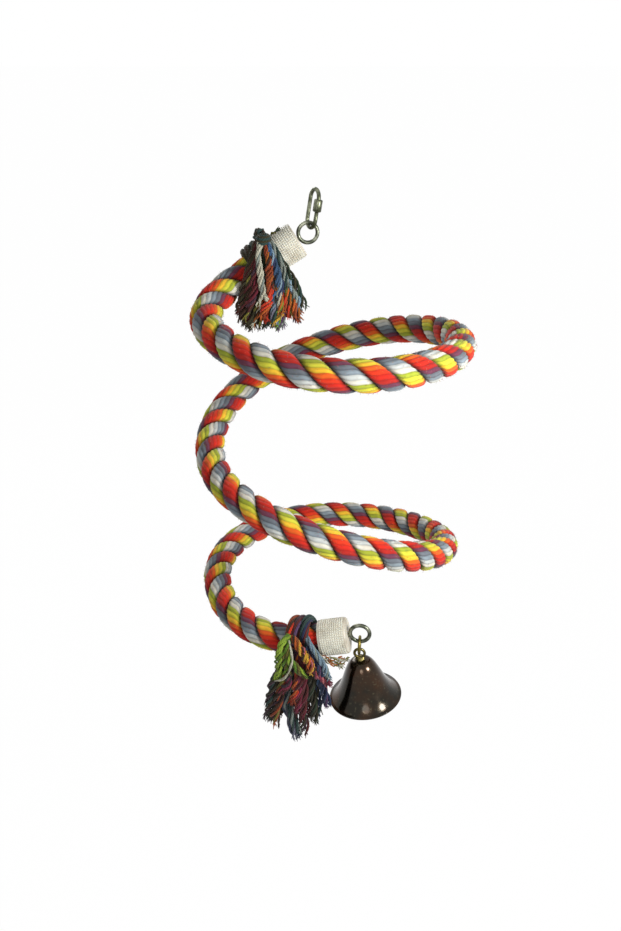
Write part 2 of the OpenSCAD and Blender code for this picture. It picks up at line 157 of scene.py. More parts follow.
def bend_point(share):
    s = share * bend_l
    at = bend_middle + bend_r * heading(bend_heading - math.pi / 2 + share * bend_sweep)
    drop = bend_fall * s + (coil_fall - bend_fall) * s * s / (2 * bend_l)
    return np.array([at[0], at[1], bend_start[2] + drop])


coil_middle = bend_middle - (coil_r - bend_r) * heading(coil_angle(coil_from))
coil_z = bend_point(1)[2] - coil_height(coil_from)


def coil_point(t):
    at = coil_middle + coil_r * heading(coil_angle(t))
    return np.array([at[0], at[1], coil_z + coil_height(t)])


tail_pitch = math.atan(coil_climb(coil_to) / turn_l)
tail_heading = coil_angle(coil_to) + math.pi / 2
lower_axis = math.cos(tail_pitch) * heading(tail_heading) + math.sin(tail_pitch) * up
lower_rope_end = coil_point(coil_to) + lower_straight_l * lower_axis

dense = [upper_rope_end]
dense += [bend_point(i / bend_steps) for i in range(bend_steps + 1)]
dense += [coil_point(coil_from + (coil_to - coil_from) * i / coil_steps) for i in range(1, coil_steps + 1)]
dense = np.array(dense + [lower_rope_end])


def runs(line):
    """The distance along a line at each of its points."""
    return np.concatenate([[0], np.cumsum(np.linalg.norm(np.diff(line, axis=0), axis=1))])


def points_at(s, line_runs, line):
    """Points on a line at these distances along it."""
    return np.stack([np.interp(s, line_runs, line[:, k]) for k in range(3)], axis=-1)


dense_s = runs(dense)
rope_l = float(dense_s[-1])


def route_at(s):
    """Points on the rope's middle line, measured from its upper end."""
    return points_at(s, dense_s, dense)


print("rope length, mm:", round(rope_l / mm, 1))

# %% [markdown]
# ## Dyes
#
# The yarns are plain cotton dyed in bright colours. Around each strand they always lie in the same
# order, so the rope shows repeating stripes: white, lime, yellow, orange, red, violet and slate. The
# tassels' yarns are older and darker. A colour is written as it looks on a screen and turned into the
# linear value that a shader wants.


# %% Dye tables
def dye(red, green, blue):
    def linear(c):
        c /= 255
        return c / 12.92 if c <= 0.04045 else ((c + 0.055) / 1.055) ** 2.4

    return (linear(red), linear(green), linear(blue), 1)


strand_dyes = [
    dye(216, 212, 196), dye(160, 170, 52), dye(208, 204, 60), dye(238, 188, 50),
    dye(224, 94, 28), dye(214, 52, 22), dye(202, 38, 22), dye(172, 36, 28),
    dye(106, 54, 74), dye(104, 110, 118), dye(130, 142, 150), dye(190, 194, 190),
]
yarns = len(strand_dyes)
tassel_dyes = {
    "brown": dye(60, 38, 22), "maroon": dye(86, 32, 32), "bark": dye(50, 46, 26),
    "bone": dye(186, 184, 164), "rust": dye(148, 66, 32), "red": dye(198, 58, 30),
    "blue": dye(58, 88, 122), "teal": dye(42, 66, 62), "amber": dye(160, 88, 28),
    "grey": dye(134, 144, 136), "violet": dye(84, 58, 92), "olive": dye(112, 108, 40),
    "green": dye(44, 60, 38), "wine": dye(104, 28, 44), "orange": dye(196, 96, 34),
    "lime": dye(148, 178, 54), "leaf": dye(98, 136, 34), "yellow": dye(212, 166, 50),
    "pink": dye(196, 108, 112), "magenta": dye(134, 44, 72), "sky": dye(124, 148, 164),
    "navy": dye(36, 46, 78), "lavender": dye(108, 108, 124), "plum": dye(66, 42, 54),
}

# %% [markdown]
# ## Helpers for nodes
#
# Every material, and every tree that repeats something, is made of nodes. These functions add a node,
# link or set its sockets, and hand back the output that the next node wants.


# %% Node helpers
def new_material(name):
    material = bpy.data.materials.new(name)
    material.use_nodes = True
    tree = material.node_tree
    return material, tree, tree.nodes["Principled BSDF"]


def put(tree, value, socket):
    """Link another node's output into a socket, or set the socket to a plain value."""
    if isinstance(value, bpy.types.NodeSocket):
        tree.links.new(value, socket)
    else:
        socket.default_value = value


def fill(tree, node, **inputs):
    """Each name, with _ for a space, is that of a socket or else of one of the node's own settings."""
    for key, value in inputs.items():
        socket = node.inputs.get(key.replace("_", " "))
        if socket is None:
            setattr(node, key, value)
        else:
            put(tree, value, socket)
    return node


def add(tree, kind, **inputs):
    """A new node, filled in the same way."""
    return fill(tree, tree.nodes.new(kind), **inputs)


def calc(tree, operation, *values, kind="ShaderNodeMath"):
    node = add(tree, kind, operation=operation)
    for value, socket in zip(values, node.inputs):
        put(tree, value, socket)
    return node.outputs[0]


def tint(tree, base, by, share, mode="MULTIPLY"):
    """One colour laid over another. The node has a set of sockets for each type; 6 and 7 are colours."""
    node = add(tree, "ShaderNodeMix", data_type="RGBA", blend_type=mode)
    for value, place_in_node in ((share, 0), (base, 6), (by, 7)):
        put(tree, value, node.inputs[place_in_node])
    return node.outputs[2]


def grey(tree, value):
    return add(tree, "ShaderNodeCombineColor", Red=value, Green=value, Blue=value).outputs["Color"]


def between(tree, value, low, high, to_low=0.0, to_high=1.0):
    node = add(tree, "ShaderNodeMapRange", Value=value, From_Min=low, From_Max=high,
               To_Min=to_low, To_Max=to_high)
    return node.outputs[0]


def noise(tree, vector, scale, detail=2.0):
    return add(tree, "ShaderNodeTexNoise", Vector=vector, Scale=scale, Detail=detail).outputs["Fac"]


def place(tree):
    """Where a point is on its own piece, in metres."""
    return add(tree, "ShaderNodeTexCoord").outputs["Object"]


def bump(tree, height, distance, strength, shader):
    node = add(tree, "ShaderNodeBump", Height=height, Distance=distance, Strength=strength)
    fill(tree, shader, Normal=node.outputs["Normal"])


def attribute(tree, name, output="Fac"):
    return add(tree, "ShaderNodeAttribute", attribute_name=name).outputs[output]


# %% [markdown]
# ## Cotton
#
# Every point of a strand or yarn knows where it is around it and how far along it is. Those are stored
# as one vector on the mesh: the cosine and sine of the angle, and the distance. An angle kept that way
# has no seam. From it the shader finds the thinner yarn or ply that the point is on, the crease beside
# it, into which it paints shade, and the fine fibres that run along it. A strand takes its dyes from a
# table, in order. A single yarn brings its own dye as a second attribute.


# %% Cotton material
def cotton(name, plies, ply_turns, dyes=None, soil=0.5, line_shade=0.42):
    """Cotton of so many plies round a piece, which turn so many times in a metre."""
    material, tree, shader = new_material(name)
    cosine, sine, along = add(tree, "ShaderNodeSeparateXYZ", Vector=attribute(tree, "lay", "Vector")).outputs
    turn = calc(tree, "DIVIDE", calc(tree, "ARCTAN2", sine, cosine), 2 * math.pi)
    around = calc(tree, "FRACT", calc(tree, "ADD", turn, 1.0))
    if dyes:
        ramp = add(tree, "ShaderNodeValToRGB", Fac=around)
        ramp.color_ramp.interpolation = "CONSTANT"
        stops = ramp.color_ramp.elements
        while len(stops) < len(dyes):
            stops.new(1.0)
        for i, colour in enumerate(dyes):
            stops[i].position = i / len(dyes)
            stops[i].color = colour
        colour = ramp.outputs["Color"]
    else:
        colour = attribute(tree, "dye", "Color")

    # Across one ply: 0 in the creases on both sides, 1 on its crown
    laid = calc(tree, "ADD", calc(tree, "MULTIPLY", around, float(plies)),
                calc(tree, "MULTIPLY", along, float(ply_turns)))
    crown = calc(tree, "SINE", calc(tree, "MULTIPLY", calc(tree, "FRACT", laid), math.pi))
    at = place(tree)
    cloud = noise(tree, at, 170.0, 3.0)
    blotch = noise(tree, at, 34.0, 2.0)
    # Painted shade: the colour darkens from each ply's crown into the creases on both sides
    shade = between(tree, calc(tree, "POWER", crown, 0.6), 0.0, 1.0, line_shade, 1.0)
    shade = calc(tree, "MULTIPLY", shade, between(tree, cloud, 0.3, 0.7, 0.84, 1.06))
    if dyes:
        # Painted shade, with some dirt: the colour darkens down between the strands, where little light gets
        painted_crease_shade = between(tree, attribute(tree, "open_share"), 0.0, 1.0, 0.1, 1.0)
        shade = calc(tree, "MULTIPLY", shade, painted_crease_shade)
    colour = tint(tree, colour, grey(tree, shade), 1.0)

    # Handling leaves soil in patches
    dirt = calc(tree, "MULTIPLY", between(tree, blotch, 0.5, 0.72), soil)
    colour = tint(tree, colour, dye(176, 160, 136), dirt)

    # Fine fibres run along the ply, a little askew
    askew = calc(tree, "ADD", calc(tree, "MULTIPLY", laid, 7.0), calc(tree, "MULTIPLY", along, 900.0))
    fibre_at = add(tree, "ShaderNodeCombineXYZ", X=askew, Y=calc(tree, "MULTIPLY", along, 240.0))
    fibres = noise(tree, fibre_at.outputs[0], 1.4, 4.0)
    height = calc(tree, "ADD", calc(tree, "MULTIPLY", fibres, 0.6), calc(tree, "MULTIPLY", crown, 0.8))
    bump(tree, height, 0.5 * mm, 0.6, shader)
    fill(tree, shader, Base_Color=colour, Roughness=0.88, Sheen_Weight=0.1, Sheen_Roughness=0.5,
         Specular_IOR_Level=0.25)
    return material


rope_cotton = cotton("rope_cotton", yarns, 0, strand_dyes, soil=0.3, line_shade=0.62)
yarn_cotton = cotton("yarn_cotton", 3, 420, soil=0.35)

# %% [markdown]
# ## Winding the rope
#
# Three strands are twisted to the right round the middle line. Inside each strand twelve yarns are
# twisted the other way, and faster, so on the outside they lean a little against the strands. By the
# next strand the dyes have moved on by about half their table, so a warm strand lies beside a pale
# one. The strands press on each other, so each is wider than it is deep. A ring of points is laid every
# two millimetres, and each yarn gets a small ridge on it. Each point also stores how far it stands out
# of the creases, by which the cotton paints shade, and some dirt, down between the strands. The three
# strands are one mesh, because they are one rope.

# %% Wind the strands
rope_lay = 60 * mm
strands = 3
strand_share = 1 / (1 + 2 / math.sqrt(3))
strand_r = rope_d / 2 * strand_share
strand_off = rope_d / 2 - strand_r
strand_spread = 1.52
strand_proud = 0.6 * mm
ring_step = 2 * mm
points_per_yarn = 3
yarn_depth = 0.75 * mm
yarn_turns = 1.72
crease_from, crease_to = 10.3 * mm, 13.0 * mm


def mesh_piece(name, points, faces, material, smooth=True, edges=()):
    mesh = bpy.data.meshes.new(name)
    mesh.from_pydata([tuple(p) for p in points], edges, faces)
    if material:
        mesh.materials.append(material)
    if smooth:
        mesh.polygons.foreach_set("use_smooth", [True] * len(mesh.polygons))
    return new_object(name, mesh)


def store(mesh, name, kind, values):
    """Keep one value for each of a mesh's points."""
    layer = mesh.attributes.new(name, kind, "POINT")
    field = {"FLOAT_VECTOR": "vector", "FLOAT_COLOR": "color"}.get(kind, "value")
    layer.data.foreach_set(field, np.ravel(values))


def directions(line):
    """The way a line goes at each of its points."""
    tangent = np.gradient(line, axis=0)
    return tangent / np.linalg.norm(tangent, axis=1)[:, None]


def frames_along(line):
    """Two directions square to a line at each of its points, one to its right and one below it."""
    tangent = directions(line)
    side = np.cross(tangent, up)
    side /= np.linalg.norm(side, axis=1)[:, None]
    return side, np.cross(tangent, side)


def round_about(angle, side, down):
    """Steps away from a line at this angle, for frames that were laid along it."""
    return np.cos(angle)[:, None] * side + np.sin(angle)[:, None] * down


def wind_rope():
    rings = int(rope_l / ring_step) + 1
    s = np.linspace(0, rope_l, rings)
    centre = route_at(s)
    side, down = frames_along(centre)
    around = yarns * points_per_yarn
    points, lays, opens, faces = [], [], [], []
    for strand in range(strands):
        theta = 2 * math.pi * (s / rope_lay + strand / strands)
        out, across = round_about(theta, side, down), round_about(theta + math.pi / 2, side, down)
        back = -2 * math.pi * yarn_turns * s / rope_lay
        first = strand * around * rings
        for k in range(around):
            psi = 2 * math.pi * k / around
            deep = yarn_depth * (1 - math.sin(math.pi * ((k / points_per_yarn) % 1)))
            ring = round_about(psi + back, (strand_r + strand_proud - deep) * out,
                               (strand_spread * strand_r - deep) * across)
            points.append(centre + strand_off * out + ring)
            from_middle = np.linalg.norm(strand_off * out + ring, axis=1) + deep
            # How far the point stands out of the creases, by which the cotton paints shade there
            opens.append(np.clip((from_middle - crease_from) / (crease_to - crease_from), 0, 1))
            lays.append(np.stack([np.full(rings, math.cos(psi)), np.full(rings, math.sin(psi)), s], axis=1))
        for k in range(around):
            a, b = first + k * rings, first + (k + 1) % around * rings
            faces += [(a + i, b + i, b + i + 1, a + i + 1) for i in range(rings - 1)]
        faces.append([first + k * rings for k in reversed(range(around))])
        faces.append([first + k * rings + rings - 1 for k in range(around)])
    rope = mesh_piece("rope", np.concatenate(points), faces, rope_cotton)
    store(rope.data, "lay", "FLOAT_VECTOR", np.concatenate(lays))
    store(rope.data, "open_share", "FLOAT", np.concatenate(opens))
    return rope, centre


rope, rope_line = wind_rope()
print("rope faces:", len(rope.data.polygons))

# %% [markdown]
# ## Spinning yarns
#
# The tassels are hundreds of loose yarns, so they are spun by Geometry Nodes. The guide is a mesh of
# bare lines, and each of its points carries the yarn's thickness and dye there. The tree turns the
# lines into curves, sweeps a small circle along them, and stores where each new point lies on its yarn,
# so that the cotton material can draw the plies.


# %% Helpers for Geometry Nodes
def node_tree(name, **inputs):
    """A tree with these inputs besides its geometry. Each is given as its socket's type."""
    tree = bpy.data.node_groups.new(name, "GeometryNodeTree")
    tree.interface.new_socket("Geometry", in_out="INPUT", socket_type="NodeSocketGeometry")
    for label, kind in inputs.items():
        tree.interface.new_socket(label, in_out="INPUT", socket_type="NodeSocket" + kind)
    tree.interface.new_socket("Geometry", in_out="OUTPUT", socket_type="NodeSocketGeometry")
    return tree, tree.nodes.new("NodeGroupInput").outputs, tree.nodes.new("NodeGroupOutput").inputs


def step(tree, kind, **inputs):
    """The outputs of a new node. A geometry node is named without its prefix."""
    known = kind.startswith(("Shader", "Function"))
    return add(tree, kind if known else "GeometryNode" + kind, **inputs).outputs


def finish_tree(tree, geometry, material, result):
    """The last two nodes of every tree: real meshes, which keep their material."""
    real = step(tree, "RealizeInstances", Geometry=geometry)["Geometry"]
    dressed = step(tree, "SetMaterial", Geometry=real, Material=material)["Geometry"]
    tree.links.new(dressed, result["Geometry"])
    return tree


def grow(host, tree, **values):
    """Run a tree on a piece and keep what it makes as the piece's own mesh."""
    modifier = host.modifiers.new(tree.name, "NODES")
    modifier.node_group = tree
    for item in tree.interface.items_tree:
        if item.in_out == "INPUT" and item.name in values:
            modifier[item.identifier] = values[item.name]
    seen = bpy.context.evaluated_depsgraph_get()
    grown = bpy.data.meshes.new_from_object(
        host.evaluated_get(seen), preserve_all_data_layers=True, depsgraph=seen)
    host.modifiers.remove(modifier)
    host.data = grown
    return host


def named(tree, name, kind="FLOAT"):
    """What a stored attribute says at each point."""
    return step(tree, "InputNamedAttribute", data_type=kind, Name=name)["Attribute"]


# %% The spinner
def build_spinner():
    tree, given, result = node_tree("yarn_spinner", Sides="Int", Finish="Material")
    curve = step(tree, "MeshToCurve", Mesh=given["Geometry"])["Curve"]
    run = step(tree, "SplineParameter")["Length"]
    kept = step(tree, "StoreNamedAttribute", Name="run", Geometry=curve, Value=run)["Geometry"]
    circle = step(tree, "CurvePrimitiveCircle", Radius=1.0, Resolution=given["Sides"])["Curve"]
    here = step(tree, "InputPosition")["Position"]
    rim = step(tree, "StoreNamedAttribute", data_type="FLOAT_VECTOR", Name="rim", Geometry=circle, Value=here)
    swept = step(tree, "CurveToMesh", Curve=kept, Profile_Curve=rim["Geometry"], Scale=named(tree, "thick"),
                 Fill_Caps=True)["Mesh"]
    rim_at = step(tree, "ShaderNodeSeparateXYZ", Vector=named(tree, "rim", "FLOAT_VECTOR"))
    lay = step(tree, "ShaderNodeCombineXYZ", X=rim_at["X"], Y=rim_at["Y"], Z=named(tree, "run"))["Vector"]
    laid = step(tree, "StoreNamedAttribute", data_type="FLOAT_VECTOR", Name="lay", Geometry=swept, Value=lay)
    smooth = step(tree, "SetShadeSmooth", Geometry=laid["Geometry"])["Geometry"]
    return finish_tree(tree, smooth, given["Finish"], result)


yarn_spinner = build_spinner()


def spin(name, guides, sides=6):
    """Turn guides, each a line with its thickness and dye, into one piece."""
    points = np.concatenate([line for line, thick, colour in guides])
    edges, first = [], 0
    for line, thick, colour in guides:
        edges += [(first + i, first + i + 1) for i in range(len(line) - 1)]
        first += len(line)
    piece = mesh_piece(name, points, [], None, smooth=False, edges=edges)
    store(piece.data, "thick", "FLOAT", np.concatenate([thick for line, thick, colour in guides]))
    dyes = np.concatenate([np.tile(colour, (len(line), 1)) for line, thick, colour in guides])
    store(piece.data, "dye", "FLOAT_COLOR", dyes)
    grow(piece, yarn_spinner, Sides=sides, Finish=yarn_cotton)
    print(name, "guides:", len(guides), "faces:", len(piece.data.polygons))
    return piece


# %% [markdown]
# ## Loose fibres on the rope
#
# Worn cotton is never smooth: short ends stand off it all over. Here a tree scatters points over the
# rope's own faces, and on each stands a thin cone that leans its own way and has its own dull dye.


# %% Fibres on the rope
def chosen(tree, low, high, seed):
    """A random vector for each point, between two corners."""
    node = add(tree, "FunctionNodeRandomValue", data_type="FLOAT_VECTOR", Min=low, Max=high, Seed=seed)
    return node.outputs["Value"]


def build_fuzz():
    tree, given, result = node_tree(
        "loose_fibres", Density="Float", Seed="Int", Length="Float", Finish="Material")
    spots = step(tree, "DistributePointsOnFaces", Mesh=given["Geometry"], Density=given["Density"],
                 Seed=given["Seed"])
    lean = calc(tree, "ADD", spots["Normal"], chosen(tree, (-1, -1, -1), (1, 1, 0.6), 3),
                kind="ShaderNodeVectorMath")
    aimed = step(tree, "FunctionNodeAlignRotationToVector", axis="Z", Vector=lean)["Rotation"]
    dull = chosen(tree, (0.12, 0.06, 0.03), (0.55, 0.3, 0.2), 5)
    dyed = step(tree, "StoreNamedAttribute", data_type="FLOAT_COLOR", Name="dye", Geometry=spots["Points"],
                Value=dull)["Geometry"]
    fibre = step(tree, "MeshCone", Vertices=3, Radius_Top=0.05 * mm, Radius_Bottom=0.17 * mm,
                 Depth=given["Length"])["Mesh"]
    hairs = step(tree, "InstanceOnPoints", Points=dyed, Instance=fibre, Rotation=aimed,
                 Scale=chosen(tree, (0.7, 0.7, 0.3), (1, 1, 1), 7))["Instances"]
    return finish_tree(tree, hairs, given["Finish"], result)


rope_fuzz = new_object("rope_fuzz", rope.data.copy())
grow(rope_fuzz, build_fuzz(), Density=60000.0, Seed=4, Length=2.2 * mm, Finish=yarn_cotton)
print("rope fuzz faces:", len(rope_fuzz.data.polygons))

# %% [markdown]
# ## Locks
#
# A tassel hangs in locks. A lock is a few yarns that were laid together in the rope and still keep
# their twist. Each ends where it was cut or broke, so the ends are uneven, and each end has come apart
# into fibres. A lock is given by the places that its middle passes, in millimetres, and its dyes. A
# wrap is a strand of the same yarns, wound round the rope and tucked in at both ends.

# %% Lock makers
yarn_r = 1.15 * mm
fibre_r = 0.16 * mm
frayed_back = 1.2 * mm
knot_yarn_r = 1.3 * mm
wrap_yarn_r, wrap_core_r = 1.35, 1.9
wrap_turns, wrap_points_a_turn, wrap_tuck = 1.12, 46, 4.5
chance = random.Random(11)


def smooth_line(places, spacing=2.5 * mm):
    """A smooth curve through these places, with evenly spaced points."""
    knots = np.array([2 * np.array(places[0]) - places[1], *places, 2 * np.array(places[-1]) - places[-2]])
    t = np.linspace(0, 1, 12, endpoint=False)[:, None]
    curve = []
    for a, b, c, d in zip(knots, knots[1:], knots[2:], knots[3:]):
        curve.append(0.5 * (2 * b + (c - a) * t + (2 * a - 5 * b + 4 * c - d) * t ** 2
                            + (3 * b - a - 3 * c + d) * t ** 3))
    curve = np.concatenate(curve + [knots[-2:-1]])
    s = runs(curve)
    return points_at(np.linspace(0, s[-1], max(4, int(s[-1] / spacing))), s, curve)


def steady_frames(line):
    """Two directions square to a line that turn as little as they can along it."""
    tangent = directions(line)
    sides, side = [], np.cross(tangent[0], (0.3, 0.9, 0.2))
    for t in tangent:
        side = side - side.dot(t) * t
        side = side / np.linalg.norm(side)
        sides.append(side)
    return tangent, np.array(sides), np.cross(tangent, sides)


def varied(colour, spread=0.16):
    """The same dye, a little lighter or darker."""
    k = 1 + chance.uniform(-spread, spread)
    return [min(1.0, c * k) for c in colour[:3]] + [1.0]


def fray(guides, end, aim, colour, count=7, length=4 * mm, spread=0.34):
    """Fibres that spread from a yarn's cut end and droop a little."""
    for _ in range(count):
        way = aim + np.array([chance.gauss(0, spread) for _ in range(3)])
        way /= np.linalg.norm(way)
        reach = length * chance.uniform(0.5, 1.15)
        u = np.linspace(0, 1, 5)[:, None]
        sag = np.array([0, 0, -0.22 * reach])
        line = end - frayed_back * aim + way * (reach + frayed_back) * u + sag * u ** 2
        thick = np.linspace(3.6, 1.6, 5) * fibre_r
        guides.append((line, thick, varied(colour, 0.25)))


def lock(guides, places, dyes, count=6, width=2.2, top_width=1.3, turns=2.0, ragged=0.09,
         frayed=4.0, thickness=1.0):
    """Add a lock of yarns along these places. Widths and frayed ends are in millimetres."""
    line = smooth_line(np.array(places, dtype=float) * mm)
    tangent, side, other = steady_frames(line)
    u = np.linspace(0, 1, len(line))
    loose = (top_width + (1.2 * width - top_width) * u ** 0.8) * mm
    for k in range(count):
        angle = 2 * math.pi * (k / count + turns * u + chance.uniform(-0.06, 0.06))
        wave = 1 + 0.25 * np.sin(2 * math.pi * (chance.uniform(1, 2.5) * u + chance.random()))
        reach = loose * wave * (0.25 if k == 0 and count > 4 else 1.0)
        yarn = line + reach[:, None] * round_about(angle, side, other)
        keep = max(4, int(len(line) * (1 - chance.uniform(0, ragged))))
        colour = varied(dyes[k % len(dyes)])
        r = yarn_r * thickness * chance.uniform(0.85, 1.15)
        thick = np.full(keep, r)
        thick[-1] *= 0.75
        guides.append((yarn[:keep], thick, colour))
        if frayed:
            fray(guides, yarn[keep - 1], tangent[keep - 1], colour, length=frayed * mm)


def fuzz(guides, count, low, high):
    """Short loose fibres, each between two lengths, that stand off anywhere on yarns already made."""
    yarns_made = [g for g in guides if len(g[0]) > 8]
    for _ in range(count):
        line, thick, colour = chance.choice(yarns_made)
        k = chance.randrange(2, len(line) - 2)
        way = np.array([chance.gauss(0, 1) for _ in range(3)])
        way /= np.linalg.norm(way)
        u = np.linspace(0, 1, 4)[:, None]
        reach = chance.uniform(low, high) * mm
        hair = line[k] + way * (thick[k] + reach * u) + np.array([0, 0, -0.35 * reach]) * u ** 2
        guides.append((hair, np.linspace(0.11, 0.05, 4) * mm, colour))


def wrap_turn(guides, from_upper, start, pitch, radius, reach, count, phase, words):
    """Wind a strand of yarns round the rope. Start, pitch, radius and reach are in millimetres."""
    angle = np.linspace(0, 2 * math.pi * wrap_turns, int(wrap_points_a_turn * wrap_turns))
    s = (start + pitch * angle / (2 * math.pi)) * mm
    if not from_upper:
        s = rope_l - s
    centre = route_at(s)
    side, down = frames_along(centre if from_upper else centre[::-1])
    if not from_upper:
        side, down = side[::-1], down[::-1]
    tuck = np.clip(np.minimum(angle, angle[-1] - angle) / 0.9, 0, 1) ** 0.5
    middle = centre + (reach - (1 - tuck) * wrap_tuck)[:, None] * mm * round_about(angle + phase, side, down)
    tangent, across, other = steady_frames(middle)
    dyes = dyes_of(words)
    for k in range(count):
        twist = 2 * math.pi * (k / count + 1.6 * angle / (2 * math.pi))
        ring = (radius - wrap_yarn_r) * mm * (0.12 if k == 0 else 1.0)
        yarn = middle + ring * round_about(twist, across, other)
        thick = np.full(len(yarn), (wrap_core_r if k == 0 else wrap_yarn_r) * mm)
        guides.append((yarn, thick, varied(dyes[k % len(dyes)])))


# A level below 1 darkens the dyes as painted shade
def dyes_of(words, painted_shade_level=1.0):
    return [[c * painted_shade_level for c in tassel_dyes[word][:3]] + [1.0] for word in words.split()]


def hang_locks(guides, table, painted_shade_level=1.0):
    """Add every lock of a table, whose lines say: dyes|yarns, width at the end|places."""
    for line in table.strip().splitlines():
        words, sizes, places = line.split("|")
        count, width = sizes.split()
        places = [[float(c) for c in spot.split()] for spot in places.split(",")]
        lock(guides, places, dyes_of(words, painted_shade_level), int(count), float(width))


# %% [markdown]
# ## The upper tassel
#
# The rope's loose ends come out under the cap, go three times round the rope as a wrap, and are
# knotted at the front. From the knot they fan out over the rope. Each lock has a dye of its own: brown
# and black on the left, which also stand in as painted shade of that side, a pale one in the middle,
# rust, blue and green on the right.

# %% Upper tassel
# Painted shade: the first seven locks hang on the left, where their dark dyes also stand for the shade of
# that side
upper_locks = """
brown bark brown maroon|7 3.4|-48 -30 -35, -53 -33 -49, -58 -33 -68, -63 -32 -86, -65 -31 -98
brown maroon bark olive|7 3.4|-47 -31 -35, -51 -35 -52, -55 -35 -72, -59 -34 -89, -61 -33 -106
bark brown bark|6 3.2|-47 -31 -36, -49 -34 -55, -53 -35 -76, -55 -34 -95, -57 -33 -111
wine maroon plum|5 2.6|-47 -32 -36, -49 -36 -52, -51 -38 -69, -53 -38 -83, -57 -37 -91
bark brown olive|6 3.0|-46 -31 -36, -47 -33 -59, -48 -34 -85, -49 -33 -110
brown bark|6 3.0|-47 -27 -36, -52 -27 -60, -57 -27 -85, -62 -27 -104
bark maroon brown|6 3.0|-46 -27 -36, -48 -27 -60, -51 -27 -85, -52 -27 -108
bone bone grey|4 1.8|-45 -33 -34, -47 -38 -46, -46 -40 -57, -45 -40 -70, -43 -39 -80
bone|2 1.0|-43 -39 -77, -46 -39 -82, -48 -38 -87
bone|2 1.0|-43 -39 -77, -41 -40 -82, -40 -39 -86
rust rust brown amber|6 2.6|-42 -33 -35, -39 -38 -47, -38 -39 -57, -38 -39 -68, -37 -38 -74
red red rust orange|6 2.8|-39 -34 -48, -38 -38 -62, -38 -40 -72, -38 -38 -81, -42 -38 -90, -44 -38 -102
bark green teal|6 2.8|-44 -30 -36, -43 -31 -60, -41 -33 -85, -41 -32 -110
blue blue navy sky|6 2.6|-41 -32 -34, -37 -36 -43, -32 -38 -58, -30 -38 -69, -29 -36 -80
teal bark blue|5 2.6|-41 -31 -34, -38 -35 -48, -35 -35 -66, -34 -36 -84
lavender sky teal|5 2.2|-38 -33 -52, -35 -35 -70, -34 -37 -84, -36 -38 -92, -35 -38 -99, -35 -37 -107
bone amber amber|4 1.8|-36 -35 -46, -33 -36 -63, -30 -38 -81, -29 -39 -90, -30 -38 -98
olive leaf yellow|5 2.6|-36 -33 -50, -32 -35 -72, -30 -36 -92, -33 -37 -100, -35 -36 -108
grey teal|3 1.5|-40 -30 -34, -35 -33 -39, -30 -35 -49, -26 -35 -61, -24 -35 -74
teal green bark|6 2.8|-39 -28 -35, -31 -31 -47, -23 -31 -62, -17 -31 -72, -13 -30 -83, -10 -30 -94
green bark olive|6 3.0|-41 -29 -36, -33 -31 -56, -24 -32 -79, -20 -31 -98
bark green|6 3.0|-40 -26 -36, -30 -27 -58, -20 -28 -80, -16 -28 -92
grey sky|3 1.4|-27 -33 -60, -20 -33 -74, -15 -33 -84, -13 -33 -92
rust orange amber|6 3.0|-33 -28 -54, -26 -31 -72, -20 -33 -87, -15 -33 -96, -11 -32 -100
red rust|5 2.6|-34 -28 -54, -28 -31 -74, -24 -34 -90, -20 -34 -99
violet plum wine|5 2.4|-33 -27 -54, -25 -29 -78, -17 -30 -96, -14 -30 -105
violet grey|4 2.0|-39 -30 -42, -32 -32 -68, -28 -33 -90, -28 -33 -101, -29 -32 -112
brown olive|6 3.2|-42 -26 -36, -38 -26 -60, -34 -27 -85, -32 -27 -106
"""
knot_at = (-43.0, -30.0)
upper_yarns = []
hang_locks(upper_yarns, upper_locks)
lock(upper_yarns, [(-50, -2, -41), (-49, -10, -35.5), (-47, -20, -32), (-43, -29, -33)],
     dyes_of("bark brown teal"), 7, 3.2, top_width=3.0, frayed=0)
lock(upper_yarns, [(-50, -9, -45), (-43.5, -8, -40.5), (-35, -6, -35.5), (-29, -5, -31.5)],
     dyes_of("bark olive green"), 6, 2.0, top_width=2.4, frayed=3)
lock(upper_yarns, [(-45, -36, -84), (-51, -37, -101), (-54, -36, -108)],
     dyes_of("amber bone"), 2, 0.8, thickness=0.55)
for level, wide, word in ((-36.6, 5.6, "teal"), (-34.9, 5.6, "bark"), (-33.2, 5.4, "teal"),
                          (-31.9, 4.2, "bark"), (-31.2, 2.3, "teal"), (-31.0, 0.8, "bark")):
    turn = np.linspace(0, 2 * math.pi, 30)
    loop = np.stack([knot_at[0] + wide * np.cos(turn), knot_at[1] + 1.12 * wide * np.sin(turn),
                     level + 0.6 * np.sin(turn)], axis=1) * mm
    upper_yarns.append((loop, np.full(len(loop), knot_yarn_r), varied(tassel_dyes[word])))
wrap_turn(upper_yarns, True, 27.2, 6.4, 3.6, 17.4, 8, 0.0, "teal navy bark teal green bark brown")
wrap_turn(upper_yarns, True, 34.0, 6.4, 3.6, 16.9, 8, 1.0, "bark brown bark bark brown")
wrap_turn(upper_yarns, True, 40.6, 4.0, 3.4, 16.2, 8, 2.2, "brown bark brown bark")
fuzz(upper_yarns, 500, 1.0, 3.0)
upper_tassel = spin("upper_tassel_yarns", upper_yarns)
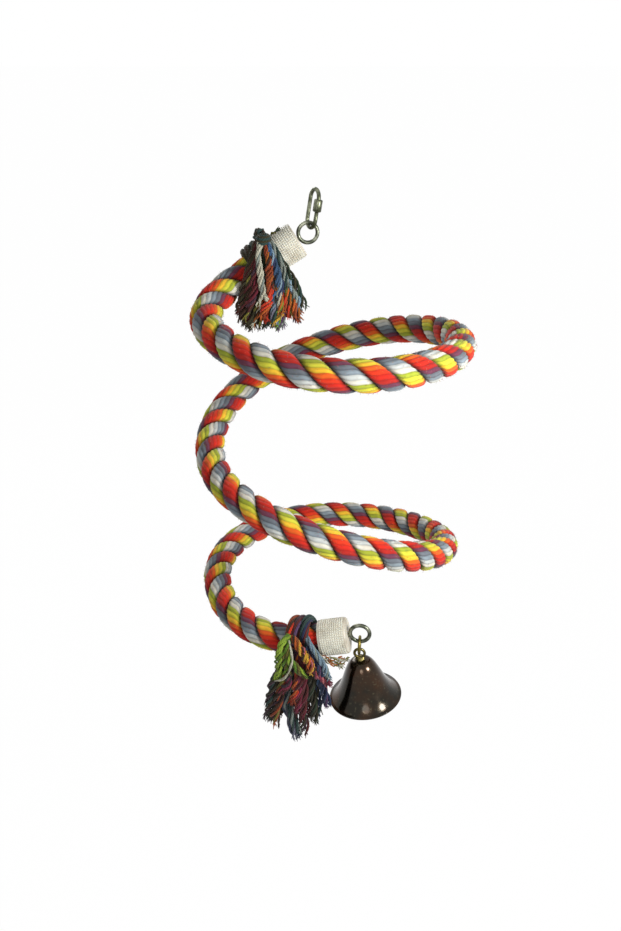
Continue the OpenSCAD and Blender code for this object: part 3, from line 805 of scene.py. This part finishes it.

# %% [markdown]
# ## The lower tassel
#
# The lower end is made the same way. Here lime and leaf-green locks come out first, an orange and
# magenta one crosses to the bell, and a dark mass of maroon and brown hangs under them, with a slate tuft
# at the bottom. The dyes of the locks in its table are darkened as painted shade.

# %% Lower tassel
lower_locks = """
lime lime leaf|5 2.6|-19 -160 -343, -25 -167 -346, -27 -170 -352, -28 -170 -366, -28 -168 -382
leaf leaf lime olive|5 2.4|-19 -162 -346, -20 -169 -351, -18 -172 -360, -10 -173 -371, -4 -171 -377
leaf olive|4 2.0|-20 -161 -346, -23 -168 -352, -22 -171 -364, -20 -171 -374
amber orange brown yellow|7 3.4|-16 -160 -344, -11 -168 -348, -5 -171 -356, 0 -171 -368, 2 -169 -376
yellow pink orange|4 2.2|-12 -164 -346, -7 -170 -352, -3 -173 -359, 0 -172 -366
pink magenta wine|5 2.2|-4 -168 -360, 0 -171 -369, 5 -170 -378, 11 -168 -385, 16 -166 -390
wine maroon|3 1.6|6 -167 -380, 12 -166 -387, 18 -164 -392
sky sky grey|5 1.9|-4 -160 -346, 3 -168 -354, 9 -170 -364, 13 -168 -376, 15 -167 -383
navy navy violet|5 2.2|-3 -160 -350, 2 -167 -359, 6 -169 -368, 9 -168 -380, 12 -166 -402, 16 -165 -418
navy blue|4 1.8|0 -161 -358, 5 -165 -376, 9 -165 -396, 13 -165 -412
maroon wine maroon|6 3.2|-10 -160 -353, -8 -166 -366, -6 -168 -387, -8 -168 -409, -10 -166 -429
plum brown bark|6 3.2|-17 -158 -358, -25 -162 -377, -32 -164 -398, -37 -164 -416, -38 -163 -433
rust brown rust olive|6 3.2|-16 -160 -357, -22 -165 -377, -27 -167 -400, -31 -168 -419, -32 -166 -436
wine maroon magenta|6 2.8|-10 -161 -358, -10 -168 -381, -11 -170 -402, -12 -170 -417
red orange rust|5 2.4|-11 -162 -362, -12 -168 -382, -14 -170 -397, -15 -170 -410
bark green bark|6 3.0|-5 -159 -360, 0 -164 -381, 1 -165 -407, 3 -163 -429, 4 -162 -438
maroon bark brown|6 3.2|-6 -157 -360, -3 -160 -385, -2 -161 -410, -1 -160 -432
navy bark teal|5 2.4|-4 -158 -360, 2 -161 -385, 5 -162 -410, 6 -161 -432
teal grey teal|6 3.0|-12 -158 -360, -17 -161 -386, -21 -164 -411, -17 -166 -431, -10 -166 -448
lavender navy lavender|6 3.0|-13 -158 -360, -19 -161 -386, -23 -163 -412, -20 -165 -430, \
-16 -165 -446, -13 -164 -458
bark maroon plum|6 3.4|-8 -158 -360, -6 -161 -391, -9 -163 -417, -7 -163 -435, -6 -162 -449
green bark plum|6 3.2|-13 -160 -359, -20 -163 -381, -28 -165 -402, -34 -165 -420, -36 -164 -435
teal plum bark|6 2.8|-18 -160 -359, -26 -164 -373, -32 -166 -386, -36 -166 -402, -38 -165 -416
brown bark|6 3.2|-14 -156 -360, -19 -158 -385, -25 -159 -410, -29 -158 -434
bark brown maroon|6 3.2|-10 -156 -360, -12 -157 -385, -15 -158 -412, -18 -158 -440
magenta plum maroon|5 2.4|-14 -162 -358, -18 -168 -374, -20 -170 -386, -25 -169 -398
"""
lower_yarns = []
# Painted shade: every lock of this table has its dyes darkened to three quarters
hang_locks(lower_yarns, lower_locks, painted_shade_level=0.75)
lock(lower_yarns, [(-19, -165, -345), (-16, -174, -353), (-16, -175, -361), (-20, -175, -373),
                   (-25, -174, -380), (-34, -171, -384)],
     dyes_of("bone"), 2, 0.5, top_width=0.5, thickness=0.5, frayed=0)
for places in ([(0, -155, -364), (7, -157, -368), (16, -158, -373), (26, -156, -375), (33, -153, -372)],
               [(1, -156, -366), (8, -157, -370), (18, -158, -375), (28, -156, -378)],
               [(0, -157, -362), (8, -159, -366), (17, -159, -369), (28, -157, -370)]):
    lock(lower_yarns, places, dyes_of("amber bone olive"), 3, 1.4, top_width=1.0, thickness=0.5)
wrap_turn(lower_yarns, False, 27.6, 6.0, 4.3, 17.5, 9, 0.0, "teal teal navy bark blue teal maroon navy")
wrap_turn(lower_yarns, False, 35.4, 6.0, 4.2, 17.6, 8, 1.2, "plum violet maroon plum wine")
wrap_turn(lower_yarns, False, 43.6, 3.0, 4.2, 17.6, 8, 2.4, "rust maroon red brown rust")
fuzz(lower_yarns, 500, 1.0, 3.0)
lower_tassel = spin("lower_tassel_yarns", lower_yarns)

# %% [markdown]
# ## The caps
#
# Each cap is a plain moulded cup with a fine grid of raised pads all round it, so that fingers can
# press it on. The imported model's cup has the right shape and stays. One tree lays a band of pads over
# it: it stands small flat-topped pyramids on rings of points, and turns each to face outwards. The cup,
# which shows in the grooves between the pads, has a darker plastic than they have: painted shade in the
# grooves, with some grime.

# %% Cap pads
cap_r = rope_d / 2 + seat_gap + cap_wall
pad_rows, pads_around = 11, 48
pad_w = 1.45 * mm
pad_height_share, pad_top_share = 0.34, 0.78
cap_margin = 1.7 * mm


def build_padder():
    tree, given, result = node_tree(
        "pad_grid", Rows="Int", Around="Int", Radius="Float", Length="Float", Pad="Float", Finish="Material")
    row = calc(tree, "DIVIDE", given["Length"], given["Rows"])
    rise = step(tree, "ShaderNodeCombineXYZ", Z=row)["Vector"]
    rows = step(tree, "MeshLine", Count=given["Rows"], Offset=rise)["Mesh"]
    ring = step(tree, "MeshCircle", Vertices=given["Around"], Radius=given["Radius"])["Mesh"]
    rings = step(tree, "InstanceOnPoints", Points=rows, Instance=ring)["Instances"]
    spots = step(tree, "RealizeInstances", Geometry=rings)["Geometry"]
    here = step(tree, "InputPosition")["Position"]
    outwards = calc(tree, "MULTIPLY", here, (1, 1, 0), kind="ShaderNodeVectorMath")
    face = step(tree, "FunctionNodeAlignRotationToVector", axis="Z", Vector=outwards)["Rotation"]
    square = step(tree, "FunctionNodeAlignRotationToVector", axis="X", pivot_axis="Z", Vector=(0, 0, 1),
                  Rotation=face)["Rotation"]
    foot = calc(tree, "MULTIPLY", given["Pad"], 0.5 ** 0.5)
    pad = step(tree, "MeshCone", Vertices=4, Radius_Bottom=foot,
               Radius_Top=calc(tree, "MULTIPLY", foot, pad_top_share),
               Depth=calc(tree, "MULTIPLY", given["Pad"], pad_height_share))["Mesh"]
    pad = step(tree, "Transform", Geometry=pad, Rotation=(0, 0, math.pi / 4))["Geometry"]
    pads = step(tree, "InstanceOnPoints", Points=spots, Instance=pad, Rotation=square)["Instances"]
    return finish_tree(tree, pads, given["Finish"], result)


def plastic(name, clean, grimy):
    """Moulded plastic, a little clear, with grime in patches."""
    material, tree, shader = new_material(name)
    at = place(tree)
    grime = between(tree, noise(tree, at, 95.0, 4.0), 0.42, 0.68)
    grain = noise(tree, at, 900.0, 3.0)
    bump(tree, grain, 0.1 * mm, 0.3, shader)
    fill(tree, shader, Base_Color=tint(tree, clean, grimy, grime, "MIX"),
         Roughness=between(tree, grain, 0.3, 0.7, 0.42, 0.58), Subsurface_Weight=0.12,
         Subsurface_Radius=(0.004, 0.003, 0.002), Subsurface_Scale=0.4)
    return material


pad_tree = build_padder()
cap_plastic = plastic("cap_plastic", dye(222, 221, 206), dye(196, 192, 176))
# Painted shade, with some grime: the cup, which shows between the pads, is a darker plastic
cup_plastic_shade_and_grime = plastic("cup_plastic_shade_and_grime", dye(198, 192, 176), dye(164, 156, 138))


def cap_pads(name, rope_end, axis):
    """A band of pads round one cap. The axis points out of the rope, through the cap and the eye."""
    pads = mesh_piece(name, [(0, 0, 0)], [], None, smooth=False)
    band = cap_l - 2 * cap_margin
    grow(pads, pad_tree, Rows=pad_rows, Around=pads_around, Radius=cap_r, Length=band, Pad=pad_w,
         Finish=cap_plastic)
    skirt = loose_gap + cap_floor - cap_l
    rise = Matrix.Translation((0, 0, skirt + cap_margin + band / pad_rows / 2))
    turn = Vector(axis).to_track_quat("Z", "Y").to_matrix().to_4x4()
    pads.data.transform(Matrix.Translation(Vector(rope_end)) @ turn @ rise)
    print(name, "faces:", len(pads.data.polygons))
    return pads


upper_pads = cap_pads("upper_cap_pads", upper_rope_end, upper_axis)
lower_pads = cap_pads("lower_cap_pads", lower_rope_end, lower_axis)

# %% [markdown]
# ## The metal parts
#
# The wire parts are dull zinc that has darkened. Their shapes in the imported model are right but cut
# into flat facets, so a copy of each is merged and shaded smooth, with sharp edges kept where the real
# one has them. The hidden parts keep the model's own meshes and only get a finish.


# %% Metal finishes
sharp_from = math.radians(35)
weld_within = 0.002 * mm


def metal(name, dark, pale, rough, wear, patches=140.0):
    """Plated metal whose plating has dulled in patches."""
    material, tree, shader = new_material(name)
    at = place(tree)
    patch = between(tree, noise(tree, at, patches, 5.0), 0.45, 0.65)
    grain = noise(tree, at, patches * 9, 3.0)
    bump(tree, calc(tree, "ADD", grain, calc(tree, "MULTIPLY", patch, 0.6)), 0.12 * mm, 0.35, shader)
    fill(tree, shader, Base_Color=tint(tree, dark, pale, calc(tree, "MULTIPLY", patch, wear), "MIX"),
         Roughness=between(tree, grain, 0.3, 0.7, rough - 0.08, rough + 0.12), Metallic=1.0)
    return material


metals = {name: metal(name, dark, pale, rough, wear) for name, dark, pale, rough, wear in (
    ("link_zinc", dye(70, 74, 56), dye(150, 154, 130), 0.38, 0.7),
    ("eye_steel", dye(74, 78, 66), dye(158, 160, 142), 0.34, 0.7),
    ("ring_brass", dye(92, 84, 38), dye(150, 134, 70), 0.34, 0.5),
    ("bell_fittings", dye(84, 76, 40), dye(140, 128, 84), 0.32, 0.5),
    ("wire_steel", dye(120, 120, 118), dye(176, 176, 172), 0.35, 0.5))}


def merged_copy(node, name, material):
    """A smooth copy of a node, for a piece that stands in its place."""
    build = bmesh.new()
    build.from_mesh(nodes[node].data)
    bmesh.ops.remove_doubles(build, verts=build.verts, dist=weld_within)
    bmesh.ops.recalc_face_normals(build, faces=build.faces)
    mesh = bpy.data.meshes.new(name)
    build.to_mesh(mesh)
    build.free()
    mesh.materials.clear()
    mesh.materials.append(material)
    mesh.polygons.foreach_set("use_smooth", [True] * len(mesh.polygons))
    mesh.set_sharp_from_angle(angle=sharp_from)
    return new_object(name, mesh)


# %% Smooth metal pieces
smooth_pieces = {
    "quick_link": ("quick_link_wire", "link", "link_zinc"),
    "link_nut": ("sleeve_nut", "nut", "link_zinc"),
    "upper_eye": ("upper_eye_wire", "perch", "eye_steel"),
    "lower_eye": ("lower_eye_wire", "perch", "eye_steel"),
    "bell_ring": ("bell_ring_wire", "ring", "ring_brass"),
    "crown_loop": ("crown_loop_wire", "bell", "bell_fittings"),
    "clapper_rod": ("clapper_wire", "clapper", "bell_fittings"),
    "clapper_ball": ("clapper_bead", "clapper", "bell_fittings"),
}
made = {}
for node, (name, body, finish) in smooth_pieces.items():
    made[node] = merged_copy(node, name, metals[finish])
    print(name, "faces:", len(made[node].data.polygons))


def finish_node(node, material):
    """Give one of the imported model's own meshes a finish."""
    slots = nodes[node].material_slots
    if not slots:
        nodes[node].data.materials.append(material)
    for slot in slots:
        slot.material = material


for node in ("upper_cap", "lower_cap"):
    finish_node(node, cup_plastic_shade_and_grime)
for node in ("upper_ferrule", "lower_ferrule", "core_wire", "crown_washer"):
    finish_node(node, metals["wire_steel"])
finish_node("crown_nut", metals["bell_fittings"])

# %% [markdown]
# ## The bell
#
# The shell is turned: one smooth curve from the flat of the crown, over the shoulder and in at the
# waist, out to a rolled lip. It is drawn as half a section and spun round. Its plating is polished, and
# its dark base colour, brown in patches, is a painted reflection of a dark room and the rope. So what it
# reflects makes its look: a white room, dimmed by that colour, with the lamps as bright patches.

# %% Spin the bell
bell_r, bell_h, bell_wall = 33 * mm, 41 * mm, 1.3 * mm
crown_r = 4.2 * mm
stem_hole_r = 1.7 * mm
ring_low = np.array([42.463, -143.892, -372.293]) * mm
crown_drop = 8.75 * mm
bell_lean = math.radians(8)
bell_turn = tail_heading % (2 * math.pi)


def bell_outline():
    """Half a section of the shell, as (radius, height): over the outside, round the lip and back inside."""
    crown, shoulder, waist, mouth = np.array([
        (crown_r, 0), (0.5 * bell_r, 0.02 * bell_h), (0.5 * bell_r, -0.72 * bell_h), (bell_r, -bell_h)])
    u = np.linspace(0, 1, 49)[:, None]
    outer = (1 - u) ** 3 * crown + 3 * (1 - u) ** 2 * u * shoulder
    outer = outer + 3 * (1 - u) * u ** 2 * waist + u ** 3 * mouth
    inner = outer[::-1] - bell_wall * np.hstack([u[::-1], 1 - u[::-1]])
    roll = bell_wall * 0.75
    middle = np.array([bell_r - 1.1 * roll, -bell_h + 0.9 * roll])
    turn = np.linspace(math.radians(35), math.radians(-215), 15)
    lip = middle + roll * np.stack([np.cos(turn), np.sin(turn)], axis=1)
    outer, inner = outer[outer[:, 1] > lip[0, 1]], inner[inner[:, 1] > lip[-1, 1] + 0.2 * mm]
    top = [(stem_hole_r, 0), (crown_r * 0.6, 0)]
    under = [(stem_hole_r, -bell_wall)]
    return np.concatenate([top, outer, lip, inner, under])


def spun(name, outline, material, sides=96):
    """Spin a closed outline of (radius, height) round Z."""
    turn = np.linspace(0, 2 * math.pi, sides, endpoint=False)
    points = [(r * math.cos(a), r * math.sin(a), z) for a in turn for r, z in outline]
    n = len(outline)
    faces = []
    for i in range(sides):
        a, b = i * n, (i + 1) % sides * n
        faces += [(a + k, a + (k + 1) % n, b + (k + 1) % n, b + k) for k in range(n)]
    return mesh_piece(name, points, faces, material)


def bell_plating_painted_reflection():
    material, tree, shader = new_material("bell_plating_painted_reflection")
    at = place(tree)
    # Painted reflection: the dark base colour, brown in patches, stands in for a dark room and the rope
    patch = between(tree, noise(tree, at, 42.0, 3.0), 0.4, 0.65)
    colour = tint(tree, dye(32, 28, 20), dye(60, 38, 20), patch, "MIX")
    speck = between(tree, noise(tree, at, 420.0, 2.0), 0.62, 0.72)
    colour = tint(tree, colour, dye(96, 92, 70), calc(tree, "MULTIPLY", speck, 0.4), "MIX")
    bump(tree, noise(tree, at, 70.0, 2.0), 0.4 * mm, 0.12, shader)
    fill(tree, shader, Base_Color=colour, Metallic=0.85, Coat_Weight=0.22, Coat_Roughness=0.06,
         Roughness=between(tree, noise(tree, at, 130.0, 4.0), 0.35, 0.7, 0.12, 0.3))
    return material


bell = spun("bell_shell_turned", bell_outline(), bell_plating_painted_reflection())
in_bell = (Matrix.Translation(Vector(ring_low)) @ Matrix.Rotation(bell_turn, 4, "Z")
           @ Matrix.Rotation(-bell_lean, 4, "Y") @ Matrix.Translation((0, 0, -crown_drop)))
bell.data.transform(in_bell)
print("bell faces:", len(bell.data.polygons))

# %% [markdown]
# ## Background and light
#
# The perch hangs in front of plain white. The world is white where the camera, a mirror finish or a
# clear piece looks at it, and gives a softer light of its own, and so does the floor. The key lamp
# stands close in front on the right, as in the picture, so the near right of the spiral is bright. A
# weaker lamp in front opens the shade on its left side, and one behind lights its back.

# %% World, floor and lamps
floor_z = -0.72
fill_level = 0.3
world = bpy.data.worlds.new("white")
world.use_nodes = True
bpy.context.scene.world = world
world_tree = world.node_tree
background = world_tree.nodes["Background"]


def looked_at(tree):
    """1 where the camera, a glossy or a clear surface looks, and 0 where light only falls."""
    ray = tree.nodes.new("ShaderNodeLightPath").outputs
    seen = calc(tree, "MAXIMUM", ray["Is Camera Ray"], ray["Is Glossy Ray"])
    return calc(tree, "MAXIMUM", seen, ray["Is Transmission Ray"])


level = between(world_tree, looked_at(world_tree), 0.0, 1.0, fill_level, 1.0)
fill(world_tree, background, Strength=level, Color=(1, 1, 1, 1))

floor_material, floor_tree, floor_shader = new_material("pale_floor")
fill(floor_tree, floor_shader, Base_Color=(0.9, 0.9, 0.9, 1), Roughness=0.8)
glow = add(floor_tree, "ShaderNodeEmission", Strength=1.0)
glow_share = calc(floor_tree, "MULTIPLY", looked_at(floor_tree), 0.99)
blend = add(floor_tree, "ShaderNodeMixShader")
for value, socket in zip((glow_share, floor_shader.outputs[0], glow.outputs[0]), blend.inputs):
    put(floor_tree, value, socket)
put(floor_tree, blend.outputs[0], floor_tree.nodes["Material Output"].inputs["Surface"])
floor_half = 400.0
corners = [(-1, -1), (1, -1), (1, 1), (-1, 1)]
floor = mesh_piece("floor", [(x * floor_half, y * floor_half, floor_z) for x, y in corners],
                   [(0, 1, 2, 3)], floor_material, smooth=False)
aim = Vector((0.02, -0.03, -0.22))


def lamp(name, at, size, power):
    data = bpy.data.lights.new(name, "AREA")
    data.shape = "DISK"
    data.size = size
    data.energy = power
    light = new_object(name, data)
    light.location = at
    light.rotation_euler = (aim - Vector(at)).to_track_quat("-Z", "Y").to_euler()


lamp("key", (0.46, -0.44, -0.02), 0.2, 4.9)
lamp("front", (-0.1, -1.2, 0.25), 0.5, 3.0)
lamp("back", (-0.5, 1.1, 0.3), 0.6, 7)
bpy.context.scene.view_settings.view_transform = "Standard"

# %% [markdown]
# ## Who moves with whom
#
# The rope and everything tied to it swing together on the quick link.

# %% Hide the replaced nodes, and ride
for node, (name, body, finish) in smooth_pieces.items():
    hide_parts(node)
    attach(made[node], body)
for piece, node, body, finish in (
        (rope, "perch_rope", "perch", "rope_cotton"),
        (upper_tassel, "upper_tassel", "perch", "tassel_cotton"),
        (lower_tassel, "lower_tassel", "perch", "tassel_cotton"),
        (bell, "bell_shell", "bell", "bell_chrome")):
    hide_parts(node)
    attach(piece, body)
for piece, finish in ((upper_pads, "cap_plastic"), (lower_pads, "cap_plastic"), (rope_fuzz, "rope_cotton")):
    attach(piece, "perch")
